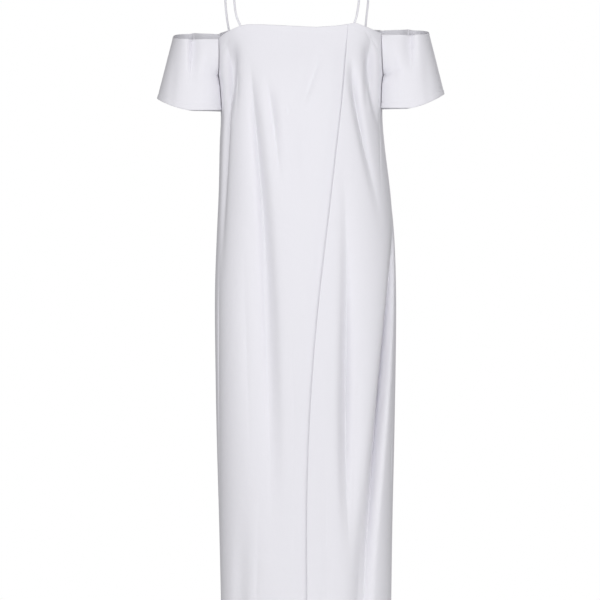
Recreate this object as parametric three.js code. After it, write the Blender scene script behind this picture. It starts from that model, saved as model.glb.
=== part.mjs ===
// An off-shoulder column dress of white crepe, hollow and filled out as if worn.
// Millimetres: +X is the viewer's right, the front faces -Y and +Z is up.
// The origin lies midway between the shoulders, level with the underside of the straps.

import * as THREE from 'three';

const { clamp, lerp, smoothstep } = THREE.MathUtils;

// Cloth, seams and edges
const WALL = 1.4;
const SEAM_GAP = 0.3;
const HEM_Z = -1320;
const UNDERARM_Z = -247;
const ARMHOLE_FRONT_Y = -58;
const ARMHOLE_BACK_Y = 52;
const ARMHOLE_ROUNDNESS = 5;
const ARMHOLE_SPREAD = 0.5;
const CLOTH_COLOUR = 0xecebf0;
const CLOTH_ROUGHNESS = 0.85;

// Horizontal sections of the body: the side seams' x, the depths from the side seams to the
// centre front and centre back, and how square the section is (2 is an ellipse).
const SECTIONS = [
  { z: -140, left: -163, right: 163, front: 101, back: 93, square: 3.2 },
  { z: -190, left: -161, right: 162, front: 108, back: 100, square: 3.1 },
  { z: -247, left: -155, right: 158, front: 119, back: 107, square: 2.9 },
  { z: -315, left: -150, right: 156, front: 125, back: 108, square: 2.8 },
  { z: -369, left: -152, right: 160, front: 124, back: 105, square: 2.8 },
  { z: -460, left: -154, right: 171, front: 120, back: 103, square: 2.8 },
  { z: -551, left: -158, right: 179, front: 117, back: 106, square: 2.8 },
  { z: -642, left: -161, right: 182, front: 116, back: 112, square: 2.8 },
  { z: -733, left: -161, right: 182, front: 115, back: 113, square: 2.8 },
  { z: -916, left: -158, right: 179, front: 111, back: 109, square: 2.8 },
  { z: -1098, left: -153, right: 175, front: 108, back: 105, square: 2.75 },
  { z: -1320, left: -148, right: 172, front: 106, back: 102, square: 2.7 },
];

// Top edge of the front and of the back, from one armhole corner to the other.
const FRONT_TOP = [
  { x: -154, z: -176 },
  { x: -132, z: -164 },
  { x: -112, z: -156.5 },
  { x: -98, z: -154 },
  { x: -68, z: -155 },
  { x: 0, z: -158.5 },
  { x: 28, z: -160 },
  { x: 65, z: -157.5 },
  { x: 103, z: -151.5 },
  { x: 121, z: -157 },
  { x: 155, z: -168 },
];
const BACK_TOP = [
  { x: -157, z: -153 },
  { x: -137, z: -143 },
  { x: 0, z: -150 },
  { x: 126, z: -140 },
  { x: 156, z: -146 },
];

// Edge of the front panel that laps over the other one, from the neckline to the hem.
const LAP_EDGE = [
  { z: -156, x: 89 },
  { z: -283, x: 79 },
  { z: -462, x: 59 },
  { z: -742, x: 28 },
  { z: -1000, x: 14 },
  { z: -1320, x: 14 },
];

// The under panel sinks towards the lap edge, so the lapped edge stands proud of it.
const LAP_DIP = 3.5;
const LAP_DIP_WIDTH = 15;
const LAP_DIP_START = 70;

// Folds of the body as soft troughs. x holds the place at the start, a third, two thirds and
// the end of the fold, deepest the part of its length where it is deepest, and left and right
// the widths of its two slopes.
const FRONT_FOLDS = [
  { from: -190, to: -660, x: [-128, -138, -144, -148], depth: 8, deepest: 0.35, left: 8, right: 11 },
  { from: -172, to: -335, x: [-127, -128, -129, -130], depth: 12, deepest: 0.35, left: 12, right: 12 },
  { from: -205, to: -1150, x: [-92, -67, -51, -40], depth: 8, deepest: 0.4, left: 9, right: 12 },
  { from: -235, to: -490, x: [-63, -50, -40, -32], depth: 3, deepest: 0.3, left: 8, right: 10 },
  { from: -290, to: -540, x: [-20, -17, -12, -8], depth: 3, deepest: 0.4, left: 14, right: 16 },
  { from: -185, to: -330, x: [44, 28, 12, -4], depth: 3, deepest: 0.5, left: 10, right: 9 },
  { from: -372, to: -1180, x: [73, 83, 80, 90], depth: 6.5, deepest: 0.6, left: 7, right: 12 },
  { from: -205, to: -560, x: [94, 107, 131, 156], depth: 6, deepest: 0.2, left: 8, right: 9 },
  { from: -170, to: -360, x: [128, 131, 138, 150], depth: 12, deepest: 0.3, left: 12, right: 11 },
  { from: -215, to: -335, x: [122, 123, 124, 124], depth: 3, deepest: 0.4, left: 7, right: 6 },
  { from: -460, to: -1440, x: [173, 163, 132, 120], depth: 18, deepest: 0.36, left: 14, right: 8 },
  { from: -1000, to: -1420, x: [-104, -110, -114, -116], depth: 5, deepest: 0.6, left: 15, right: 16 },
];
const BACK_FOLDS = [
  { from: -190, to: -720, x: [-88, -84, -74, -66], depth: 6, deepest: 0.2, left: 10, right: 13 },
  { from: -190, to: -780, x: [92, 84, 78, 70], depth: 6, deepest: 0.25, left: 13, right: 10 },
  { from: -420, to: -1420, x: [-150, -138, -120, -110], depth: 9, deepest: 0.35, left: 9, right: 18 },
  { from: -480, to: -1420, x: [160, 150, 132, 120], depth: 10, deepest: 0.3, left: 18, right: 9 },
  { from: -520, to: -1250, x: [-8, -4, 6, 10], depth: 4, deepest: 0.4, left: 15, right: 14 },
  { from: -820, to: -1440, x: [50, 54, 60, 64], depth: 5, deepest: 0.6, left: 14, right: 16 },
];

// Sleeves: side is -1 on the viewer's left. topX and hemX are the outermost points, and the
// heights are those of the top edge and the hem at the front, the outside and the back. The
// pleat is a trough in the front, centred on pleatX, that fades out at pleatEnd.
const SLEEVES = [
  {
    name: 'sleeve_left', side: -1, topX: -241, hemX: -271,
    topFront: -176, topBack: -153, hemFront: -310, hemOuter: -282, hemBack: -300,
    pleatX: -204, pleatDepth: 4, pleatLeft: 6, pleatRight: 11, pleatEnd: 0.75,
  },
  {
    name: 'sleeve_right', side: 1, topX: 245, hemX: 274,
    topFront: -168, topBack: -146, hemFront: -306, hemOuter: -273, hemBack: -296,
    pleatX: 208, pleatDepth: 5, pleatLeft: 12, pleatRight: 9, pleatEnd: 0.6,
  },
];
const SLEEVE_TOP_CENTRE = 198;
const SLEEVE_HEM_CENTRE = 204;
const SLEEVE_TOP_INNER = 48;
const SLEEVE_HEM_INNER = 53;
const SLEEVE_TOP_FRONT = 60;
const SLEEVE_HEM_FRONT = 66;
const SLEEVE_TOP_BACK = 54;
const SLEEVE_HEM_BACK = 60;
const SLEEVE_INNER_SQUARE = 8;
const SLEEVE_OUTER_SQUARE = 2.2;
const SLEEVE_HEM_RISE_SHAPE = 1.6;
const SLEEVE_BLEND = 0.22;
const SLEEVE_CLEARANCE = 1.2;
const SLEEVE_INNER_DIP = 13;
const SLEEVE_DIP_WIDTH = 46;

// Straps, sewn to the inside of the top edge at front.x and back.x. over holds the route above.
const STRAP_THICKNESS = 4;
const STRAP_TAIL = 10;
const STRAP_GAP = 0.7;
const STRAPS = [
  {
    name: 'strap_left', front: { x: -112, z: -156.5 }, back: { x: -140, z: -144 },
    over: [
      { x: -118, y: -87, z: -138 },
      { x: -123, y: -77, z: -102 },
      { x: -126, y: -57, z: -55 },
      { x: -129, y: -32, z: -17 },
      { x: -133, y: -5, z: 2 },
      { x: -138, y: 22, z: -12 },
      { x: -142, y: 44, z: -46 },
      { x: -144, y: 60, z: -86 },
      { x: -141, y: 66, z: -122 },
    ],
  },
  {
    name: 'strap_right', front: { x: 102, z: -151.5 }, back: { x: 128.5, z: -140 },
    over: [
      { x: 105, y: -90, z: -138 },
      { x: 110.5, y: -79, z: -102 },
      { x: 114, y: -58, z: -55 },
      { x: 117.5, y: -32, z: -17 },
      { x: 121.5, y: -5, z: 2 },
      { x: 126, y: 22, z: -12 },
      { x: 129.5, y: 45, z: -46 },
      { x: 131.5, y: 62, z: -86 },
      { x: 128.5, y: 71.5, z: -118 },
    ],
  },
];

// Fineness of the grids. A front column runs down from the top edge: the first and last
// ARMHOLE_COLUMNS lie under the armholes and the lap edge is a column of its own.
const ARMHOLE_COLUMNS = 6;
const LEFT_COLUMNS = 28;
const RIGHT_COLUMNS = 16;
const LAP_COLUMNS = 5;
const BACK_COLUMNS = 26;
const FRONT_ROWS = 24;
const BACK_ROWS = 20;
const ROW_SPREAD = 1.3;
const SLEEVE_COLUMNS = 28;
const SLEEVE_ROWS = 9;
const STRAP_STEPS = 38;
const STRAP_SIDES = 8;

const LAP_COLUMN = ARMHOLE_COLUMNS + LEFT_COLUMNS;
const RIGHT_CORNER = LAP_COLUMN + RIGHT_COLUMNS;
const RIGHT_SEAM = RIGHT_CORNER + ARMHOLE_COLUMNS;

// The two rows of a table that lie on either side of a value of its key column.
function rowPair(rows, key, at) {
  const falling = rows[1][key] < rows[0][key];
  let i = 0;
  while (i < rows.length - 2 && (falling ? at < rows[i + 1][key] : at > rows[i + 1][key])) {
    i += 1;
  }
  const span = rows[i + 1][key] - rows[i][key];
  return { i, span, t: clamp((at - rows[i][key]) / span, 0, 1) };
}

// A column's value on straight lines through the rows.
function straightValue(rows, key, column, at) {
  const { i, t } = rowPair(rows, key, at);
  return lerp(rows[i][column], rows[i + 1][column], t);
}

// A column's value on a smooth curve through the rows: a cubic Hermite curve whose slope at
// each row is that of the line between its neighbours.
function smoothValue(rows, key, column, at) {
  const { i, span, t } = rowPair(rows, key, at);
  const start = rows[i];
  const end = rows[i + 1];
  const before = rows[Math.max(i - 1, 0)];
  const after = rows[Math.min(i + 2, rows.length - 1)];
  const startSlope = span * (end[column] - before[column]) / (end[key] - before[key]);
  const endSlope = span * (after[column] - start[column]) / (after[key] - start[key]);
  const rise = end[column] - start[column];
  const bend = 3 * rise - 2 * startSlope - endSlope;
  const twist = startSlope + endSlope - 2 * rise;
  return start[column] + t * (startSlope + t * (bend + t * twist));
}

// The cubic through four values at 0, a third, two thirds and 1.
function cubicThrough([a, b, c, d], t) {
  const p = 3 * t;
  return (
    a * (1 - p) * (2 - p) * (3 - p) / 6
    + b * p * (2 - p) * (3 - p) / 2
    - c * p * (1 - p) * (3 - p) / 2
    + d * p * (1 - p) * (2 - p) / 6
  );
}

function sectionAt(z) {
  const left = smoothValue(SECTIONS, 'z', 'left', z);
  const right = smoothValue(SECTIONS, 'z', 'right', z);
  return {
    centre: (left + right) / 2,
    halfWidth: (right - left) / 2,
    front: smoothValue(SECTIONS, 'z', 'front', z),
    back: smoothValue(SECTIONS, 'z', 'back', z),
    square: smoothValue(SECTIONS, 'z', 'square', z),
  };
}

// Radius of a superellipse at an angle that runs from -Y towards +X.
function superRadius(angle, halfWidth, depth, square) {
  const across = Math.abs(Math.sin(angle) / halfWidth) ** square;
  const along = Math.abs(Math.cos(angle) / depth) ** square;
  return (across + along) ** (-1 / square);
}

function bodyRadius(angle, section) {
  const depth = Math.cos(angle) > 0 ? section.front : section.back;
  return superRadius(angle, section.halfWidth, depth, section.square);
}

// Angle of the body's section at a given x, on the front or the back.
function angleAtX(x, z, side) {
  const section = sectionAt(z);
  const across = clamp((x - section.centre) / section.halfWidth, -0.999, 0.999);
  const depth = side === 'front' ? section.front : section.back;
  const y = depth * (1 - Math.abs(across) ** section.square) ** (1 / section.square);
  const angle = Math.atan2(across * section.halfWidth, y);
  return side === 'front' ? angle : Math.PI - angle;
}

// Angle of the body's section at a given y, on the left (side -1) or the right (side 1).
function angleAtY(y, z, side) {
  const section = sectionAt(z);
  const depth = y < 0 ? section.front : section.back;
  const along = Math.abs(y / depth) ** section.square;
  const across = section.halfWidth * (1 - along) ** (1 / section.square);
  const angle = Math.atan2(side * across, -y);
  return y > 0 && side < 0 ? angle + 2 * Math.PI : angle;
}

// How far one face's folds draw the cloth in at a point of the body.
function foldDepth(folds, side, angle, z) {
  let total = 0;
  for (const fold of folds) {
    const t = (z - fold.from) / (fold.to - fold.from);
    if (t > 0 && t < 1) {
      const middle = angleAtX(cubicThrough(fold.x, t), z, side);
      const turn = side === 'front' ? 1 : -1;
      const distance = turn * (angle - middle) * bodyRadius(middle, sectionAt(z));
      const width = distance < 0 ? fold.left : fold.right;
      const fade = smoothstep(t, 0, fold.deepest) * (1 - smoothstep(t, fold.deepest, 1));
      total += fold.depth * fade * Math.exp(-((distance / width) ** 2));
    }
  }
  return total;
}

// A point of the cloth's outer face, where no panel laps over another.
function bodyPoint(angle, z) {
  const section = sectionAt(z);
  const depth = Math.cos(angle) > 0 ? section.front : section.back;
  const radius = bodyRadius(angle, section);
  const x = radius * Math.sin(angle);
  const y = -radius * Math.cos(angle);
  const normal = new THREE.Vector3(
    Math.sign(x) * Math.abs(x / section.halfWidth) ** (section.square - 1) / section.halfWidth,
    Math.sign(y) * Math.abs(y / depth) ** (section.square - 1) / depth,
    0,
  ).normalize();
  const inward = foldDepth(FRONT_FOLDS, 'front', angle, z) + foldDepth(BACK_FOLDS, 'back', angle, z);
  return new THREE.Vector3(section.centre + x, y, z).addScaledVector(normal, -inward);
}

function bodyNormal(angle, z) {
  const turn = 0.002;
  const drop = 0.5;
  const along = bodyPoint(angle + turn, z).sub(bodyPoint(angle - turn, z));
  const down = bodyPoint(angle, z - drop).sub(bodyPoint(angle, z + drop));
  return down.cross(along).normalize();
}

// Height of the armhole's edge at a given y, a rounded U from corner to corner.
function armholeZ(y, side) {
  const row = side < 0 ? 0 : -1;
  const top = y < 0 ? FRONT_TOP.at(row).z : BACK_TOP.at(row).z;
  const corner = y < 0 ? ARMHOLE_FRONT_Y : ARMHOLE_BACK_Y;
  return lerp(UNDERARM_Z, top, Math.min(y / corner, 1) ** ARMHOLE_ROUNDNESS);
}

function topEdgeZ(angle, z) {
  const point = bodyPoint(angle, z);
  if (point.y > ARMHOLE_FRONT_Y && point.y < ARMHOLE_BACK_Y) {
    return armholeZ(point.y, Math.sign(point.x));
  }
  return straightValue(point.y < 0 ? FRONT_TOP : BACK_TOP, 'x', 'z', point.x);
}

// The y of a place on an armhole's edge: up runs from the underarm, half a seam gap from the
// side seam, to the corner, and the places crowd towards the corner, where the edge is steep.
function armholeY(up, cornerY) {
  return lerp(Math.sign(cornerY) * SEAM_GAP / 2, cornerY, up ** ARMHOLE_SPREAD);
}

function sideAngle(column, cornerY, z, side) {
  return angleAtY(armholeY(column / ARMHOLE_COLUMNS, cornerY), z, side);
}

function frontAngle(column, z) {
  if (column <= ARMHOLE_COLUMNS) {
    return sideAngle(column, ARMHOLE_FRONT_Y, z, -1);
  }
  if (column >= RIGHT_CORNER) {
    return sideAngle(RIGHT_SEAM - column, ARMHOLE_FRONT_Y, z, 1);
  }
  const lap = angleAtX(smoothValue(LAP_EDGE, 'z', 'x', z), z, 'front');
  if (column <= LAP_COLUMN) {
    const corner = angleAtY(ARMHOLE_FRONT_Y, z, -1);
    return lerp(corner, lap, (column - ARMHOLE_COLUMNS) / LEFT_COLUMNS);
  }
  return lerp(lap, angleAtY(ARMHOLE_FRONT_Y, z, 1), (column - LAP_COLUMN) / RIGHT_COLUMNS);
}

function backAngle(column, z) {
  const fromLeft = BACK_COLUMNS + 2 * ARMHOLE_COLUMNS - column;
  if (column <= ARMHOLE_COLUMNS) {
    return sideAngle(column, ARMHOLE_BACK_Y, z, 1);
  }
  if (fromLeft <= ARMHOLE_COLUMNS) {
    return sideAngle(fromLeft, ARMHOLE_BACK_Y, z, -1);
  }
  const right = angleAtY(ARMHOLE_BACK_Y, z, 1);
  const left = angleAtY(ARMHOLE_BACK_Y, z, -1);
  return lerp(right, left, (column - ARMHOLE_COLUMNS) / BACK_COLUMNS);
}

// Angle and height of a grid point: each column starts on the top edge and ends at the hem.
function panelPlace(angleOf, column, fall) {
  let top = FRONT_TOP[0].z;
  for (let pass = 0; pass < 5; pass += 1) {
    top = topEdgeZ(angleOf(column, top), top);
  }
  const z = lerp(top, HEM_Z, fall ** ROW_SPREAD);
  return { angle: angleOf(column, z), z, below: top - z };
}

// How far the under panel lies inside the body's face.
function underOffset(column, place) {
  const start = smoothstep(place.below, 0, LAP_DIP_START);
  if (column > LAP_COLUMN) {
    return -LAP_DIP * start * (1 - smoothstep(column - LAP_COLUMN, 0, LAP_COLUMNS));
  }
  const lapAngle = frontAngle(LAP_COLUMN, place.z);
  const distance = (place.angle - lapAngle) * bodyRadius(lapAngle, sectionAt(place.z));
  return -LAP_DIP * start * Math.exp(-((distance / LAP_DIP_WIDTH) ** 2));
}

// How far the over panel lies outside the body's face: one wall and a gap over the under
// panel, then easing down to the side seam.
function overOffset(column) {
  const pastLap = column - LAP_COLUMN;
  return (WALL + SEAM_GAP) * (1 - smoothstep(pastLap, LAP_COLUMNS + 1, RIGHT_COLUMNS - 4));
}

// A closed wall between two grids of points, whose rows run down and whose columns run
// anticlockwise as seen from above.
function wallGeometry(outer, inner) {
  const rows = outer.length - 1;
  const columns = outer[0].length - 1;
  const points = [...outer.flat(), ...inner.flat()];
  const outerAt = (row, column) => row * (columns + 1) + column;
  const innerAt = (row, column) => outerAt(row, column) + outer.length * (columns + 1);
  const index = [];
  const quad = (a, b, c, d) => index.push(a, b, c, a, c, d);
  for (let row = 0; row < rows; row += 1) {
    for (let column = 0; column < columns; column += 1) {
      const [above, below, left, right] = [row, row + 1, column, column + 1];
      quad(outerAt(above, left), outerAt(below, left), outerAt(below, right), outerAt(above, right));
      quad(innerAt(above, left), innerAt(above, right), innerAt(below, right), innerAt(below, left));
    }
  }
  for (let row = 0; row < rows; row += 1) {
    quad(outerAt(row, 0), innerAt(row, 0), innerAt(row + 1, 0), outerAt(row + 1, 0));
    quad(
      outerAt(row + 1, columns), innerAt(row + 1, columns),
      innerAt(row, columns), outerAt(row, columns),
    );
  }
  for (let column = 0; column < columns; column += 1) {
    quad(outerAt(0, column + 1), innerAt(0, column + 1), innerAt(0, column), outerAt(0, column));
    quad(
      outerAt(rows, column), innerAt(rows, column),
      innerAt(rows, column + 1), outerAt(rows, column + 1),
    );
  }
  const geometry = new THREE.BufferGeometry().setFromPoints(points);
  geometry.setIndex(index);
  geometry.computeVertexNormals();
  return geometry;
}

function clothMesh(name, geometry) {
  const material = new THREE.MeshStandardMaterial({
    color: CLOTH_COLOUR,
    roughness: CLOTH_ROUGHNESS,
    metalness: 0,
  });
  const mesh = new THREE.Mesh(geometry, material);
  mesh.name = name;
  return mesh;
}

// A body panel: its wall lies between offsetOf and offsetOf - WALL along the body's normals.
function bodyPanel(name, angleOf, firstColumn, lastColumn, rows, offsetOf) {
  const outer = [];
  const inner = [];
  for (let row = 0; row <= rows; row += 1) {
    outer.push([]);
    inner.push([]);
    for (let column = firstColumn; column <= lastColumn; column += 1) {
      const place = panelPlace(angleOf, column, row / rows);
      const point = bodyPoint(place.angle, place.z);
      const normal = bodyNormal(place.angle, place.z);
      const offset = offsetOf(column, place);
      outer[row].push(point.clone().addScaledVector(normal, offset));
      inner[row].push(point.clone().addScaledVector(normal, offset - WALL));
    }
  }
  return clothMesh(name, wallGeometry(outer, inner));
}

function frontUnder() {
  return bodyPanel('front_under', frontAngle, 0, LAP_COLUMN + LAP_COLUMNS, FRONT_ROWS, underOffset);
}

function frontOver() {
  return bodyPanel('front_over', frontAngle, LAP_COLUMN, RIGHT_SEAM, FRONT_ROWS, overOffset);
}

function back() {
  const lastColumn = BACK_COLUMNS + 2 * ARMHOLE_COLUMNS;
  return bodyPanel('back', backAngle, 0, lastColumn, BACK_ROWS, () => 0);
}

// Where the sleeve is sewn on: down the armhole's edge to the underarm, then down the
// underarm seam beside the body. facing is -1 on the front edge and 1 on the back edge.
function sleeveEdge(sleeve, facing, fall) {
  const armholePart = ARMHOLE_COLUMNS / SLEEVE_ROWS;
  const cornerY = facing < 0 ? ARMHOLE_FRONT_Y : ARMHOLE_BACK_Y;
  const up = Math.max(1 - fall / armholePart, 0);
  const y = armholeY(up, cornerY);
  const down = Math.max((fall - armholePart) / (1 - armholePart), 0);
  const hemZ = (sleeve.hemFront + sleeve.hemBack) / 2;
  const z = down > 0 ? lerp(UNDERARM_Z, hemZ, down) : armholeZ(y, sleeve.side);
  const angle = angleAtY(y, z, sleeve.side);
  const lift = SEAM_GAP + up * WALL;
  return bodyPoint(angle, z).addScaledVector(bodyNormal(angle, z), lift);
}

// A point of the sleeve as a free flared tube, whose front sinks back beside the body.
function tubePoint(sleeve, angle, fall) {
  const centre = sleeve.side * lerp(SLEEVE_TOP_CENTRE, SLEEVE_HEM_CENTRE, fall);
  const outward = sleeve.side * Math.sin(angle);
  const outerX = lerp(sleeve.topX, sleeve.hemX, fall);
  const innerWidth = lerp(SLEEVE_TOP_INNER, SLEEVE_HEM_INNER, fall);
  const halfWidth = outward > 0 ? Math.abs(outerX - centre) : innerWidth;
  const frontDepth = lerp(SLEEVE_TOP_FRONT, SLEEVE_HEM_FRONT, fall);
  const backDepth = lerp(SLEEVE_TOP_BACK, SLEEVE_HEM_BACK, fall);
  const depth = Math.cos(angle) > 0 ? frontDepth : backDepth;
  const square = outward > 0 ? SLEEVE_OUTER_SQUARE : SLEEVE_INNER_SQUARE;
  const radius = superRadius(angle, halfWidth, depth, square);
  const x = centre + radius * Math.sin(angle);
  const backward = (1 - Math.cos(angle)) / 2;
  const rise = Math.max(outward, 0) ** SLEEVE_HEM_RISE_SHAPE;
  const level = (sleeve.hemFront + sleeve.hemBack) / 2;
  const top = lerp(sleeve.topFront, sleeve.topBack, backward);
  const hem = lerp(sleeve.hemFront, sleeve.hemBack, backward) + rise * (sleeve.hemOuter - level);
  const aside = x - sleeve.pleatX;
  const pleatWidth = aside < 0 ? sleeve.pleatLeft : sleeve.pleatRight;
  const pleat = Math.exp(-((aside / pleatWidth) ** 2)) * (1 - smoothstep(fall, 0.1, sleeve.pleatEnd));
  const fromBody = Math.abs(x - centre + sleeve.side * innerWidth);
  const nearBody = smoothstep(fall, 0, 0.5) * (1 - smoothstep(fromBody, 0, SLEEVE_DIP_WIDTH));
  const dip = Math.cos(angle) > 0 ? SLEEVE_INNER_DIP * nearBody : 0;
  const inward = Math.sign(Math.cos(angle)) * sleeve.pleatDepth * pleat + dip;
  return new THREE.Vector3(x, -radius * Math.cos(angle) + inward, lerp(top, hem, fall));
}

// Moves a point of the sleeve out of the body, to a given clearance from it.
function keepClear(point, clearance) {
  const section = sectionAt(point.z);
  const x = point.x - section.centre;
  const angle = Math.atan2(x, -point.y);
  const radius = Math.max(Math.hypot(x, point.y), bodyRadius(angle, section) + clearance);
  point.set(section.centre + radius * Math.sin(angle), -radius * Math.cos(angle), point.z);
}

// A point of the sleeve's outer face: u runs round it anticlockwise from seam to seam, and
// fall from the top edge to the hem. Near the seams the tube eases onto the armhole.
function sleevePoint(sleeve, u, fall) {
  const centre = sleeve.side * lerp(SLEEVE_TOP_CENTRE, SLEEVE_HEM_CENTRE, fall);
  const startEdge = sleeveEdge(sleeve, -sleeve.side, fall);
  const endEdge = sleeveEdge(sleeve, sleeve.side, fall);
  const startAngle = Math.atan2(startEdge.x - centre, -startEdge.y);
  let endAngle = Math.atan2(endEdge.x - centre, -endEdge.y);
  if (endAngle < startAngle + Math.PI / 2) {
    endAngle += 2 * Math.PI;
  }
  const point = tubePoint(sleeve, lerp(startAngle, endAngle, u), fall);
  const startPull = Math.max(1 - u / SLEEVE_BLEND, 0) ** 2;
  const endPull = Math.max(1 - (1 - u) / SLEEVE_BLEND, 0) ** 2;
  point.addScaledVector(startEdge.sub(tubePoint(sleeve, startAngle, fall)), startPull);
  point.addScaledVector(endEdge.sub(tubePoint(sleeve, endAngle, fall)), endPull);
  keepClear(point, lerp(SLEEVE_CLEARANCE, SEAM_GAP, Math.max(startPull, endPull)));
  return point;
}

function sleeveNormal(sleeve, u, fall) {
  const step = 0.004;
  const left = sleevePoint(sleeve, Math.max(u - step, 0), fall);
  const right = sleevePoint(sleeve, Math.min(u + step, 1), fall);
  const above = sleevePoint(sleeve, u, Math.max(fall - step, 0));
  const below = sleevePoint(sleeve, u, Math.min(fall + step, 1));
  return below.sub(above).cross(right.sub(left)).normalize();
}

function sleeveMesh(sleeve) {
  const outer = [];
  const inner = [];
  for (let row = 0; row <= SLEEVE_ROWS; row += 1) {
    outer.push([]);
    inner.push([]);
    for (let column = 0; column <= SLEEVE_COLUMNS; column += 1) {
      const u = column / SLEEVE_COLUMNS;
      const fall = row / SLEEVE_ROWS;
      const point = sleevePoint(sleeve, u, fall);
      outer[row].push(point);
      inner[row].push(point.clone().addScaledVector(sleeveNormal(sleeve, u, fall), -WALL));
    }
  }
  return clothMesh(sleeve.name, wallGeometry(outer, inner));
}

// A strap's end, on the inside of the body's wall.
function strapEnd(end, side, below) {
  const z = end.z - below;
  const angle = angleAtX(end.x, z, side);
  const inside = WALL + STRAP_GAP + STRAP_THICKNESS / 2;
  return bodyPoint(angle, z).addScaledVector(bodyNormal(angle, z), -inside);
}

function strapMesh(strap) {
  const route = [
    strapEnd(strap.front, 'front', STRAP_TAIL),
    strapEnd(strap.front, 'front', 0),
    ...strap.over.map(({ x, y, z }) => new THREE.Vector3(x, y, z)),
    strapEnd(strap.back, 'back', 0),
    strapEnd(strap.back, 'back', STRAP_TAIL),
  ];
  const round = new THREE.Shape();
  for (let side = 0; side < STRAP_SIDES; side += 1) {
    const angle = 2 * Math.PI * side / STRAP_SIDES;
    const x = STRAP_THICKNESS / 2 * Math.cos(angle);
    const y = STRAP_THICKNESS / 2 * Math.sin(angle);
    if (side === 0) {
      round.moveTo(x, y);
    } else {
      round.lineTo(x, y);
    }
  }
  round.closePath();
  const geometry = new THREE.ExtrudeGeometry(round, {
    steps: STRAP_STEPS,
    bevelEnabled: false,
    extrudePath: new THREE.CatmullRomCurve3(route),
  });
  return clothMesh(strap.name, geometry);
}

const dress = new THREE.Group();
dress.add(frontUnder(), frontOver(), back());
for (const sleeve of SLEEVES) {
  dress.add(sleeveMesh(sleeve));
}
for (const strap of STRAPS) {
  dress.add(strapMesh(strap));
}

export default dress;
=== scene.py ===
"""Off-shoulder column dress of white crepe, filled out as if worn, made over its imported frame.

Tables and cloth sizes are in millimetres and become metres where a mesh is made.
+X is the viewer's right, the front faces -Y and +Z is up.
"""

import bpy
import numpy as np
from bpy.props import FloatProperty, PointerProperty, StringProperty
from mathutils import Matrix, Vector


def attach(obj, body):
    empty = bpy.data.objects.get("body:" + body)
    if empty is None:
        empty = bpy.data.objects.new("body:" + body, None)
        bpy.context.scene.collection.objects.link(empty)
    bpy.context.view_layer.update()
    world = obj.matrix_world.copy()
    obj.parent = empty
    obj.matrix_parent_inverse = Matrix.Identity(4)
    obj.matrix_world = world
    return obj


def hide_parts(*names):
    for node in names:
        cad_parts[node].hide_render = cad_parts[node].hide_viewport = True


bl_info = {
    "name": "Off-shoulder dress",
    "version": (1, 0, 0),
    "blender": (4, 5, 0),
    "location": "3D View > Sidebar > Dress",
    "description": "Makes the cloth of a lapped off-shoulder dress over its frame",
    "category": "Object",
}

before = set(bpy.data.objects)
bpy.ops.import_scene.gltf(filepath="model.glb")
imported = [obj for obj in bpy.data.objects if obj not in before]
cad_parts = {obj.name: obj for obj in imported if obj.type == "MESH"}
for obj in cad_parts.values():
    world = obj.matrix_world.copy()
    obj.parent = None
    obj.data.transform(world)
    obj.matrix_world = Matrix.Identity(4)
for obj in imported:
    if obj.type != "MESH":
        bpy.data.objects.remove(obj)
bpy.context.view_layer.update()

MM = 0.001

# Cloth, seams and edges. The roundness is the power of the armhole's U, and the spreads crowd
# the columns at the armhole's corner and the rows at the top edge.
SEAM_GAP = 0.3
SOLID_WALL = 1.4
HEM_Z = -1320
UNDERARM_Z = -247
ARMHOLE_FRONT_Y = -58
ARMHOLE_BACK_Y = 52
ARMHOLE_ROUNDNESS = 5
ARMHOLE_SPREAD = 0.5
ROW_SPREAD = 1.3
TOP_EDGE_PASSES = 6
WIDEST_SHARE = 0.999

# Columns of the panels: under each armhole, left and right of the lap edge, in the lap and
# across the back. The surfaces are cut finer by these numbers of steps.
ARMHOLE_COLUMNS = 6
LEFT_COLUMNS = 28
RIGHT_COLUMNS = 16
LAP_COLUMNS = 5
BACK_COLUMNS = 26
LAP_COLUMN = ARMHOLE_COLUMNS + LEFT_COLUMNS
RIGHT_CORNER = LAP_COLUMN + RIGHT_COLUMNS
RIGHT_SEAM = RIGHT_CORNER + ARMHOLE_COLUMNS
LAST_BACK_COLUMN = BACK_COLUMNS + 2 * ARMHOLE_COLUMNS
FRONT_STEPS = 6
BACK_STEPS = 5
FRONT_ROWS = 176
BACK_ROWS = 150
SLEEVE_STEPS = 420
SLEEVE_ROWS = 66


def table(columns, *rows):
    """Rows of numbers as one array for each named column."""
    return dict(zip(columns.split(), np.array(rows, float).T))


# Horizontal sections of the body: the side seams' x, the depths to the centre front and the
# centre back, and how square the section is, where 2 is an ellipse.
SECTIONS = table(
    "z left right front back square",
    (-140, -163, 163, 101, 93, 3.2),
    (-190, -161, 162, 108, 100, 3.1),
    (-247, -155, 158, 119, 107, 2.9),
    (-315, -150, 156, 125, 108, 2.8),
    (-369, -152, 160, 124, 105, 2.8),
    (-460, -154, 171, 120, 103, 2.8),
    (-551, -158, 179, 117, 106, 2.8),
    (-642, -161, 182, 116, 112, 2.8),
    (-733, -161, 182, 115, 113, 2.8),
    (-916, -158, 179, 111, 109, 2.8),
    (-1098, -153, 175, 108, 105, 2.75),
    (-1320, -148, 172, 106, 102, 2.7),
)

# Top edges from one armhole corner to the other.
FRONT_TOP = table(
    "x z",
    (-154, -176),
    (-132, -164),
    (-112, -156.5),
    (-98, -154),
    (-68, -155),
    (0, -158.5),
    (28, -160),
    (65, -157.5),
    (103, -151.5),
    (121, -157),
    (155, -168),
)
BACK_TOP = table(
    "x z",
    (-157, -153),
    (-137, -143),
    (0, -150),
    (126, -140),
    (156, -146),
)

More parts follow.
